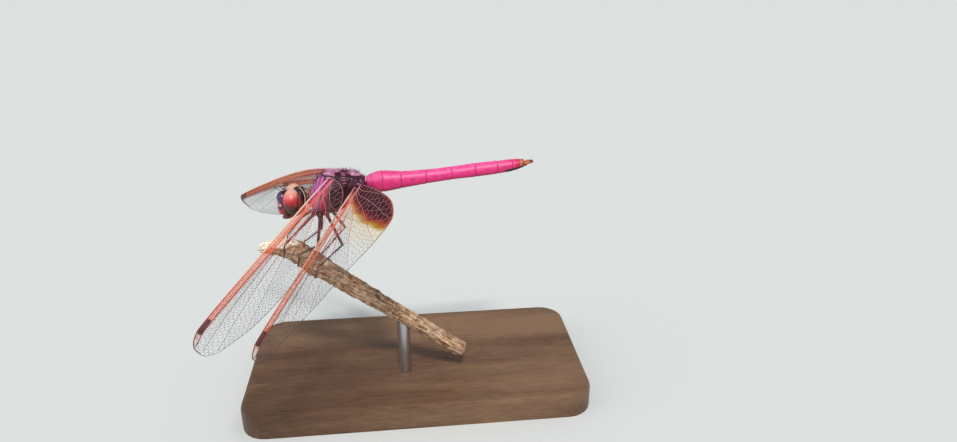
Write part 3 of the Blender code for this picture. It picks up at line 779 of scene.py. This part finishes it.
leg_finish = shell_material("leg_shell", leg_shell, (0.3, 0.18, 0.2), 0.06, 0.4, 14000.0, 0.015)
for pair, joints in LEGS.items():
    for side, word in ((1, "left"), (-1, "right")):
        hip, knee, ankle, claw = [Vector((p[0], side * p[1], p[2])) for p in joints]
        bm = fresh("reach")
        thigh, shin, foot = knee - hip, ankle - knee, claw - ankle
        ball(bm, hip + Vector((0, 0, 0.1)), (0.50, 0.46, 0.50), (0.02,))
        ball(bm, hip + thigh * 0.10, (0.30, 0.28, 0.32), (0.15,))
        limb(bm, [hip + thigh * 0.10, hip + thigh * 0.4, knee - thigh * 0.04, knee + thigh * 0.02],
             lambda x: 0.22 - 0.06 * x + 0.02 * sin(pi * x), 28, 14, lambda x, a: (0.1 + 0.4 * x,))
        ball(bm, knee, (0.17, 0.17, 0.17), (0.55,))
        limb(bm, [knee, knee + shin * 0.35, knee + shin * 0.7, ankle], lambda x: 0.11 - 0.03 * x, 24, 12,
             lambda x, a: (0.6 + 0.2 * x,))
        for n, (begin, end) in enumerate(((0.0, 0.26), (0.28, 0.56), (0.58, 0.98))):
            limb(bm, [ankle + foot * begin, ankle + foot * (begin + end) / 2, ankle + foot * end],
                 lambda x: 0.085 + 0.025 * x, 8, 10, lambda x, a: (0.9,), 0.12)
        outward = Vector((0, side, 0))
        ahead_of_shin = shin.cross(outward).normalized()
        for n in range(9):
            x = 0.1 + 0.095 * n
            for row in (1, -1):
                root = knee + shin * x
                lean = (outward * 0.35 * row + ahead_of_shin * row * 0.9
                        + shin.normalized() * 0.9).normalized()
                spine(bm, root, root + lean * (0.75 - 0.25 * x), 0.03)
        for n in range(7):
            x = 0.2 + 0.11 * n
            root = hip + thigh * x
            lean = (ahead_of_shin + thigh.normalized() * 0.8).normalized()
            spine(bm, root, root + lean * 0.42, 0.022)
        inward = Vector((0.0, -side, 0.0))
        for spread in (1, -1):
            tip = claw + foot.normalized() * 0.18 + inward * 0.30 + Vector((0.16 * spread, 0, 0.05))
            bend = claw + foot.normalized() * 0.16 + Vector((0.12 * spread, 0, 0))
            limb(bm, [claw - foot * 0.02, bend, tip],
                 lambda x: 0.055 - 0.045 * x, 8, 8, lambda x, a: (1.0,), 0.1)
        piece_from("leg_%s_%s" % (pair, word), bm, leg_finish,
                   ["leg_%s_%s_%s" % (pair, word, part) for part in ("femur", "tibia", "tarsus")])

# ---- The wings: clear membrane on a net of veins, with a thick leading edge and a dark cell near the tip.
# The veins are red near the root and darken outwards; the hind wings have a dark, amber-rimmed root patch.
FORE_MARGIN = ((0.0, -0.35), (0.25, -0.3), (0.525, -0.12), (0.86, 0.1), (0.94, 0.55), (0.985, 1.7),
               (1.0, 3.3), (0.98, 4.6), (0.92, 5.6), (0.8, 6.5), (0.6, 6.8), (0.4, 6.35), (0.22, 5.4),
               (0.1, 4.2), (0.03, 2.4), (0.0, 0.6))
HIND_MARGIN = ((0.0, -0.35), (0.2, -0.3), (0.405, -0.2), (0.86, 0.2), (0.94, 0.65), (0.985, 1.6),
               (1.0, 3.0), (0.975, 3.9), (0.88, 5.1), (0.7, 6.8), (0.5, 8.5), (0.34, 10.2), (0.23, 10.9),
               (0.15, 9.7), (0.095, 7.7), (0.045, 4.4), (0.0, 0.8))
# each vein: its name, the vein it leaves and where, then its own points as (part of the length, chord)
FORE_VEINS = (
    ("radius", None, 0, ((0.0, 0.45), (0.15, 0.45), (0.35, 0.5), (0.525, 0.55), (0.7, 0.58), (0.86, 0.66),
                         (0.94, 1.1), (1.03, 2.4))),
    ("second", "third", 0.36, ((0.42, 1.15), (0.55, 1.2), (0.75, 1.75), (0.88, 2.35), (1.03, 3.2))),
    ("between", "third", 0.30, ((0.36, 1.75), (0.5, 2.1), (0.65, 2.75), (0.82, 3.7), (1.03, 5.2))),
    ("third", "radius", 0.13, ((0.16, 0.9), (0.27, 1.5), (0.42, 2.5), (0.58, 3.7), (0.75, 5.2), (0.9, 6.6))),
    ("middle", "radius", 0.13, ((0.15, 1.1), (0.22, 2.2), (0.34, 3.4), (0.47, 5.0), (0.56, 7.4))),
    ("hollow", "radius", 0.09, ((0.13, 1.5), (0.18, 3.0), (0.26, 4.4), (0.33, 5.4), (0.37, 7.0))),
    ("anal", "radius", 0.03, ((0.07, 1.3), (0.12, 2.4), (0.16, 3.6), (0.18, 5.6))),
)
HIND_VEINS = (
    ("radius", None, 0, ((0.0, 0.5), (0.2, 0.5), (0.405, 0.52), (0.6, 0.6), (0.86, 0.78), (0.94, 1.15),
                         (1.03, 2.4))),
    ("second", "third", 0.28, ((0.34, 1.25), (0.5, 1.45), (0.7, 2.0), (0.88, 2.7), (1.03, 3.2))),
    ("between", "third", 0.22, ((0.28, 1.9), (0.42, 2.4), (0.58, 3.15), (0.78, 4.1), (1.02, 5.0))),
    ("third", "radius", 0.10, ((0.13, 1.0), (0.22, 1.8), (0.36, 3.0), (0.52, 4.4), (0.70, 6.0), (0.84, 7.4))),
    ("middle", "radius", 0.10, ((0.12, 1.3), (0.20, 2.9), (0.31, 4.6), (0.44, 6.9), (0.56, 9.6))),
    ("hollow", "radius", 0.07, ((0.10, 1.8), (0.16, 4.0), (0.24, 6.4), (0.33, 9.0), (0.38, 11.5))),
    ("anal", "radius", 0.05, ((0.075, 1.8), (0.11, 4.2), (0.16, 7.0), (0.21, 9.5), (0.24, 12.0))),
    ("root", "radius", 0.03, ((0.045, 1.8), (0.06, 4.0), (0.085, 6.8), (0.11, 9.4), (0.12, 12.0))),
)
TIP = 7                    # how many margin points lie ahead of the tip
# each pair: hinge, margin, veins, place of the nodus, length and size of a cell
PAIRS = {"fore": ((1.16, 1.6, 2.61), FORE_MARGIN, FORE_VEINS, 0.525, 30.5, 0.66),
         "hind": ((-2.65, 1.7, 1.56), HIND_MARGIN, HIND_VEINS, 0.405, 29.0, 0.68)}
# each wing: its pair, side, degrees swept ahead, drooped and twisted, and how far its front edge bows forward
WINGS = {"fore_wing_left": ("fore", 1, 32.5, 28.8, 18.0, 0.0),
         "fore_wing_right": ("fore", -1, 39.7, 28.4, -27.5, 1.3),
         "hind_wing_left": ("hind", 1, 28.5, 35.1, 38.7, 0.0),
         "hind_wing_right": ("hind", -1, 34.0, 20.0, -45.0, 0.0)}
STIGMA_START, STIGMA_END = 0.858, 0.922


def smooth_line(points, count):
    return np.array([blend_values(points, i / count) for i in range(count + 1)])


def on_line(line, place, places=None):
    """The point or points of a line at a place, counted in its points or in their given places."""
    places = range(len(line)) if places is None else places
    return np.array([np.interp(place, places, line[:, k]) for k in (0, 1)]).T


def wing_axes(side, sweep, droop, twist):
    """Unit vectors along the wing, behind its leading line and out of its upper face."""
    f, d, t = radians(sweep), radians(droop), radians(twist)
    span = Vector((sin(f), cos(f) * cos(d), -cos(f) * sin(d)))
    flat_chord = Vector((-cos(f), sin(f) * cos(d), -sin(f) * sin(d)))
    chord = flat_chord * cos(t) + span.cross(flat_chord) * sin(t)
    axes = [span, chord, span.cross(chord)]
    for axis in axes:
        axis.y *= side
    return axes


def crossings(a, b, line):
    """Where the segment from a to b crosses a line of points, as parts of the segment."""
    p, q = line[:-1], line[1:]
    d, e = b - a, q - p
    cross = d[0] * e[:, 1] - d[1] * e[:, 0]
    cross[np.abs(cross) < 1e-12] = 1e-12
    w = p - a
    t = (w[:, 0] * e[:, 1] - w[:, 1] * e[:, 0]) / cross
    u = (w[:, 0] * d[1] - w[:, 1] * d[0]) / cross
    return sorted(t[(t > 0) & (t < 1) & (u >= 0) & (u < 1)])


def inside(point, ring):
    """Whether a point lies inside a closed ring of points."""
    x, y = ring[:, 0], ring[:, 1]
    x2, y2 = np.roll(x, -1), np.roll(y, -1)
    hit = (y > point[1]) != (y2 > point[1])
    return np.count_nonzero(hit & (point[0] < (x2 - x) * (point[1] - y) / np.where(hit, y2 - y, 1) + x)) % 2


def trimmed(a, b, ring):
    """The pieces of a segment that lie inside a closed ring."""
    closed = np.vstack([ring, ring[:1]])
    cuts = [0.0] + crossings(a, b, closed) + [1.0]
    pieces = []
    for start, end in zip(cuts, cuts[1:]):
        if end - start > 1e-6 and inside(a + (b - a) * (start + end) / 2, ring):
            pieces.append((a + (b - a) * start, a + (b - a) * end))
    return pieces


def cell_walls(front, back, outline, cell, widen, rng):
    """The cross veins of the strip between two veins: the walls of cells grown round scattered seeds."""
    strip = np.vstack([front, back[::-1]])
    middle = (front + back) / 2
    run = np.concatenate([[0], np.cumsum(np.hypot(*np.diff(middle, axis=0).T))])
    seeds = []
    column, place = 0, 0.3
    while place < run[-1]:
        a, b = on_line(front, place, run), on_line(back, place, run)
        width, across = np.hypot(*(b - a)), cell * widen((a + b) / 2)
        column, place = column + 1, place + across * 0.9
        if width < 0.16:
            continue
        rows = max(1, int(round(width / across)))
        for row in range(rows):
            part = (row + 0.5 + (0.25 if column % 2 else -0.25) * (rows > 1)) / rows
            spot = a + (b - a) * min(max(part, 0.06), 0.94)
            jitter = across * (0.12 if rows > 1 else 0.05)
            seeds.append(spot + np.array([rng.uniform(-jitter, jitter), rng.uniform(-jitter, jitter)]))
    if len(seeds) < 3:
        return []
    seeds = np.array(seeds)
    centre, reach = seeds.mean(axis=0), 60.0
    far = [centre + reach * np.array([cos(a), sin(a)]) for a in np.linspace(0, 2 * pi, 12, endpoint=False)]
    points = [Vector(p) for p in np.vstack([seeds, far])]
    verts, _, faces, *_ = delaunay_2d_cdt(points, [], [], 0, 1e-7)
    heart = {}
    sides = {}
    for n, face in enumerate(faces):
        (ax, ay), (bx, by), (cx, cy) = [verts[i] for i in face]
        d = 2 * (ax * (by - cy) + bx * (cy - ay) + cx * (ay - by))
        if abs(d) < 1e-12:
            continue
        a2, b2, c2 = ax * ax + ay * ay, bx * bx + by * by, cx * cx + cy * cy
        heart[n] = np.array([(a2 * (by - cy) + b2 * (cy - ay) + c2 * (ay - by)) / d,
                             (a2 * (cx - bx) + b2 * (ax - cx) + c2 * (bx - ax)) / d])
        for i, j in ((0, 1), (1, 2), (2, 0)):
            sides.setdefault(frozenset((face[i], face[j])), []).append(n)
    walls = []
    for pair in sides.values():
        if len(pair) == 2 and all(n in heart for n in pair):
            a, b = heart[pair[0]], heart[pair[1]]
            if np.hypot(*(b - a)) < 0.02:
                continue
            for start, end in trimmed(a, b, strip):
                walls += [w for w in trimmed(start, end, outline) if np.hypot(*(w[1] - w[0])) > 0.02]
    return walls


def vein_material(name, *stops):
    """Vein colours that change with the distance from the wing's root; over the dark patch and near the root
    they turn pale grey-pink, a painted sheen of the shiny veins against dark ground.
    """
    made, tree, shader = new_material(name, rough=0.38)
    # Painted sheen: pale grey-pink over the dark patch, and over the dark thorax near the root.
    over = mix(tree, ramp(tree, mark_value("patch")(tree), (0.15, 0.0), (0.5, 1.0)),
               by_mark("out", *stops)(tree), (0.48, 0.19, 0.21))
    tree.links.new(over, shader.inputs["Base Color"])
    return made


edge_vein = vein_material("edge_vein", (0.02, (0.78, 0.36, 0.55)), (0.18, (0.88, 0.50, 0.48)),
                          (0.32, (0.84, 0.50, 0.32)), (0.55, (0.80, 0.30, 0.18)), (0.8, (0.62, 0.10, 0.07)),
                          (0.97, (0.12, 0.03, 0.03)))
main_vein = vein_material("main_vein", (0.02, (0.70, 0.16, 0.30)), (0.14, (0.80, 0.12, 0.12)),
                          (0.35, (0.74, 0.16, 0.07)), (0.6, (0.66, 0.08, 0.05)), (0.84, (0.50, 0.03, 0.03)),
                          (0.97, (0.12, 0.02, 0.02)))
branch_vein = vein_material("branch_vein", (0.05, (0.62, 0.10, 0.16)), (0.25, (0.60, 0.10, 0.07)),
                            (0.5, (0.34, 0.05, 0.04)), (0.75, (0.10, 0.03, 0.025)))
fine_vein = vein_material("fine_vein", (0.05, (0.42, 0.06, 0.06)), (0.3, (0.16, 0.05, 0.03)),
                          (0.6, (0.05, 0.03, 0.025)))
stigma_finish = new_material("wing_cell", (0.055, 0.012, 0.010), 0.4)[0]
film, tree, shader = new_material("membrane", rough=0.25, Specular_IOR_Level=0.2)
patch = mark_value("patch")(tree)
tint = ramp(tree, patch, (0.0, (0.70, 0.66, 0.58)), (0.08, (0.74, 0.56, 0.17)), (0.24, (0.50, 0.25, 0.015)),
            (0.44, (0.30, 0.04, 0.006)), (0.64, (0.09, 0.006, 0.007)), (0.9, (0.035, 0.002, 0.006)))
warm = mark_value("warm")(tree)
ambered = mix(tree, ramp(tree, warm, (0.02, 0.0), (0.18, 1.0)), tint, (0.64, 0.16, 0.035))
tree.links.new(ambered, shader.inputs["Base Color"])
stained = ramp(tree, patch, (0.0, 0.006), (0.08, 0.20), (0.24, 0.66), (0.44, 0.90), (0.64, 0.96))
# Painted sheen: towards grazing angles the pale membrane grows more opaque, added to the amber of the warm
# strips.
edge_on = add_node(tree, "LayerWeight", Blend=0.35).outputs["Facing"]
amber_and_grazing_sheen = calc(tree, "MULTIPLY_ADD", calc(tree, "POWER", edge_on, 2.5), 0.07, calc(tree, "MULTIPLY", warm, 0.66))
tree.links.new(calc(tree, "MAXIMUM", stained, amber_and_grazing_sheen, clamp=True), shader.inputs["Alpha"])


for wing_name, (pair, side, sweep, droop, twist, bow) in WINGS.items():
    hinge, margin, veins, nodus, length, cell = PAIRS[pair]
    rng = random.Random(len(wing_name) * 31 + side)
    hind = pair == "hind"
    origin = Vector((hinge[0], side * hinge[1], hinge[2]))
    span_axis, chord_axis, normal_axis = wing_axes(side, sweep, droop, twist)
    edge = np.array([(part * length, chord) for part, chord in margin])
    lead = smooth_line(edge[:TIP], 60)
    trail = smooth_line(edge[TIP - 1:][::-1], 90)
    outline = np.vstack([lead, trail[::-1]])

    def front_at(s):
        return np.interp(s, lead[:, 0], lead[:, 1])

    def lift(s, c):
        """How far the pleated, slightly cambered wing stands off its plane."""
        behind = c - front_at(s)
        pleat = 0.16 * cos(2 * pi * behind / 0.95) * exp(-behind / 1.1)
        wave = 0.10 * cos(2 * pi * behind / 2.7) * exp(-behind / 5.0) * min(1.0, s / 5)
        return pleat + wave - 0.012 * behind * behind * (0.5 if hind else 1.0) * sin(pi * min(s / length, 1))

    def on_wing(s, c, off=0.0):
        part = min(1.0, max(0.0, s / length))
        bowed = c - bow * sin(pi * part ** 0.6) * max(0.0, 1 - c / 5)
        spot = origin + span_axis * s + chord_axis * bowed + normal_axis * (lift(s, c) + off)
        return at(*spot)

    def patch_at(s, c):
        """Strength of the coloured root patch, 0 outside and 1 at its heart."""
        if not hind:
            return 0.0
        within = (3.0 + 1.0 * c - 0.045 * c * c - s + 0.15 * sin(s * 2.1 + c)) / 1.3
        gap = np.hypot(*(trail - (s, c)).T).min()
        halo = 0.07 * min(1.0, max(0.0, (within + 3.5) / 2.5))
        return max(halo, min(1.0, (within + 0.25) / 2.3, 0.34 + gap / 1.1 + max(0.0, 1.0 - c / 8)))

    # membrane
    bm = fresh("patch", "warm")
    grid = bmesh.ops.create_grid(bm, x_segments=90, y_segments=40, size=0.5, calc_uvs=True)["verts"]
    patch_layer, warm_layer = bm.verts.layers.float.values()
    for vert in grid:
        u, v = vert.co.x + 0.5, (vert.co.y + 0.5) ** 1.8
        a, b = on_line(lead, u * 60), on_line(trail, u * 90)
        s, c = a + (b - a) * v
        vert.co = on_wing(s, c)
        vert[patch_layer] = patch_at(s, c)
        behind = c - front_at(s)
        strip = min(1.0, max(0.0, 1.5 - behind / (0.55 + (0.15 if hind else 0.9) * (1 - s / length))))
        strip *= (1 - vert[patch_layer]) * min(1.0, (1.0 - s / length) * 9)
        if side > 0:
            strip *= (0.3 + 0.2 * s / length) * min(1.0, s / 6)
        base = 0.8 * max(0.0, 1 - s / 10) * max(0.0, 1 - behind / 5) if side < 0 and not hind else 0.0
        vert[warm_layer] = max(strip, base)
    bmesh.ops.remove_doubles(bm, verts=bm.verts, dist=2e-7)
    bmesh.ops.solidify(bm, geom=bm.faces[:] + bm.edges[:] + bm.verts[:], thickness=0.02 * MM)
    piece_from(wing_name + "_membrane", bm, film, [wing_name])

    # long veins
    paths = {}
    for vein_name, parent, leaves, own in sorted(veins, key=lambda v: (v[1] is not None, v[1] != "radius")):
        points = [(part * length, chord) for part, chord in own]
        if parent:
            before = [p for p in paths[parent] if p[0] < leaves * length]
            line = smooth_line([before[-1]] + points, 40)
            paths[vein_name] = np.vstack([before, line[1:]])
            paths[vein_name + " own"] = np.vstack([before[-1:], line[1:]])
        else:
            paths[vein_name] = paths[vein_name + " own"] = smooth_line(points, 70)
    nodus_at = nodus * length
    subcosta = smooth_line([(0.0, 0.08), (nodus_at * 0.3, 0.10), (nodus_at * 0.8, 0.12),
                            (nodus_at, front_at(nodus_at))], 30)

    def draw_line(curve, path, radius_start, radius_end, off=0.0):
        spline = curve.splines.new("POLY")
        spline.points.add(len(path) - 1)
        for n, (point, (s, c)) in enumerate(zip(spline.points, path)):
            point.co = (*on_wing(s, c, off), 1)
            point.radius = radius_start + (radius_end - radius_start) * n / (len(path) - 1)

    def curve_piece(name, curve, material, sheen_near_root=True):
        """Turn drawn veins into a mesh and mark how far out each point is."""
        holder = bpy.data.objects.new(name + "_lines", curve)
        mesh = bpy.data.meshes.new_from_object(holder.evaluated_get(bpy.context.evaluated_depsgraph_get()))
        bpy.data.objects.remove(holder)
        bm = bmesh.new()
        bm.from_mesh(mesh)
        out, over = bm.verts.layers.float.new("out"), bm.verts.layers.float.new("patch")
        root = at(*origin)
        for vert in bm.verts:
            away = (vert.co - root) / MM
            away.x, away.y = -away.x, -away.y
            vert[out] = away.length / length
            dark = patch_at(away.dot(span_axis), away.dot(chord_axis)) if hind else 0.0
            # Near the root the veins lie over the dark thorax and are painted pale as a sheen.
            vert[over] = max(dark, 0.8 - 2.6 * vert[out]) if sheen_near_root else dark
        bmesh.ops.remove_doubles(bm, verts=bm.verts, dist=1e-7)
        piece_from(name, bm, material, ())

    def new_curve(resolution):
        curve = bpy.data.curves.new("veins", "CURVE")
        curve.dimensions = "3D"
        curve.bevel_depth = MM
        curve.bevel_resolution = resolution
        curve.use_fill_caps = True
        return curve

    front_edge, thick, branches = new_curve(1), new_curve(1), new_curve(1)
    draw_line(front_edge, lead, 0.12, 0.05)
    draw_line(thick, subcosta, 0.07, 0.05)
    long_veins = []
    for vein_name, parent, leaves, own in veins:
        path = paths[vein_name + " own"]
        kept = [p for p in path if inside(p, outline)]
        if vein_name == "radius":
            draw_line(thick, kept, 0.11, 0.045)
        else:
            draw_line(branches, kept, 0.055, 0.022)
        long_veins.append(paths[vein_name])
    curve_piece(wing_name + "_front_edge", front_edge, edge_vein, False)
    curve_piece(wing_name + "_leading_veins", thick, main_vein, False)
    curve_piece(wing_name + "_branch_veins", branches, branch_vein)

    # the net of small veins, and the red bars across the leading strip
    net, bars = new_curve(0), new_curve(0)
    draw_line(net, trail, 0.045, 0.025)
    strips = [lead] + long_veins + [trail[trail[:, 0] < long_veins[-1][-1, 0]]]

    def widen(spot):
        """Cells are larger in the root patch and smallest near the tip and the rear edge."""
        root = patch_at(*spot) > 0.1 if hind else spot[0] < 5
        return 1.0 + 0.5 * (root and spot[1] > 1.0) - 0.15 * spot[0] / length

    for n, (front, back) in enumerate(zip(strips, strips[1:])):
        size = cell * (1.3 if n == 0 else 1.0)
        ends = [on_line(line, np.linspace(0, len(line) - 1, 60)) for line in (front, back)]
        for start, end in cell_walls(*ends, outline, size, widen, rng):
            middle = (start + end) / 2
            near_root = max(min(1.0, patch_at(*middle) * 1.5) if hind else 0, 0.7 - middle[0] / 10, 0)
            radius = (0.024 if n == 0 else 0.016) + 0.010 * near_root
            draw_line(bars if n == 0 else net, [start, end], radius, radius)
    curve_piece(wing_name + "_net", net, fine_vein)
    curve_piece(wing_name + "_cross_bars", bars, main_vein, False)

    # the dark cell near the tip
    bm = fresh()

    def stigma_shape(t, angle):
        x, cap = capped(t, 0.08)
        s = (STIGMA_START + (STIGMA_END - STIGMA_START) * x) * length
        front = front_at(s)
        back = np.interp(s, paths["radius"][:, 0], paths["radius"][:, 1])
        c = (front + back) / 2 + (back - front) / 2 * cos(angle) * (0.30 + 0.55 * cap)
        return on_wing(s + (1 - cap) * (-0.15 if x < 0.5 else 0.15), c, 0.06 * sin(angle) * cap),
    wrap(bm, 24, 20, stigma_shape)
    piece_from(wing_name + "_stigma", bm, stigma_finish, ())

# ---- The hairs: short stiff bristles on the thorax and face, thickest on the front and between the wings.
# Each is a solid dark spike, a little bent out of line with its neighbours.
BODY_HAIRS, ROOF_HAIRS, FACE_HAIRS = 850, 450, 160
TUFT_PATCH = 0.003         # side of the patch that each hair takes on the unwrapped skin
bristle = new_material("bristle", (0.06, 0.015, 0.02), 0.5)[0]
rng = random.Random(5)
bm = bmesh.new()
roots_on_skin = []


def hair(bm, root, lean, length, radius, skin):
    spine(bm, root, Vector(root) + lean * length, radius)
    roots_on_skin.append(skin)


def loose(amount):
    return Vector([rng.uniform(-amount, amount) for _ in range(3)])


for n in range(BODY_HAIRS + ROOF_HAIRS):
    on_roof = n >= BODY_HAIRS
    t = rng.uniform(0.2, 0.86) if on_roof else rng.uniform(0.03, 0.75)
    angle = rng.gauss(0, 0.5) if on_roof else rng.uniform(0, 2 * pi)
    place = (thorax_shape(t, angle)[0] - THORAX) / MM
    root = (-place.x, -place.y, place.z)
    outward = (Vector((root[0] * 0.25, root[1] * 0.6, root[2] * 0.4)) + loose(0.3)).normalized()
    hair(bm, root, outward, rng.uniform(0.35, 0.62) if on_roof else rng.uniform(0.22, 0.42), 0.012,
         (angle / (2 * pi) % 1.0, 0.2 + 0.78 * t))
for n in range(FACE_HAIRS):
    angle, drop = rng.uniform(-1.1, 1.1), rng.uniform(-2.9, -0.2)
    root = (8.3 + 0.75 * cos(angle) * sqrt(max(0.05, 1 - ((drop + 1.4) / 2.1) ** 2)), 1.1 * sin(angle), drop)
    hair(bm, root, (Vector((1, 0, 0.15)) + loose(0.4)).normalized(), rng.uniform(0.3, 0.5), 0.011,
         (0.5 + angle / 2.4, 0.01 + 0.16 * (drop + 2.9) / 2.7))
bake = bm.loops.layers.uv.new("OFBake")
bm.faces.ensure_lookup_table()
per_hair = len(bm.faces) // len(roots_on_skin)
for n, face in enumerate(bm.faces):
    u, v = roots_on_skin[n // per_hair]
    for corner, loop in enumerate(face.loops):
        loop[bake].uv = (u + TUFT_PATCH * (corner in (1, 2)), v + TUFT_PATCH * (corner > 1))
piece_from("bristles", bm, bristle)
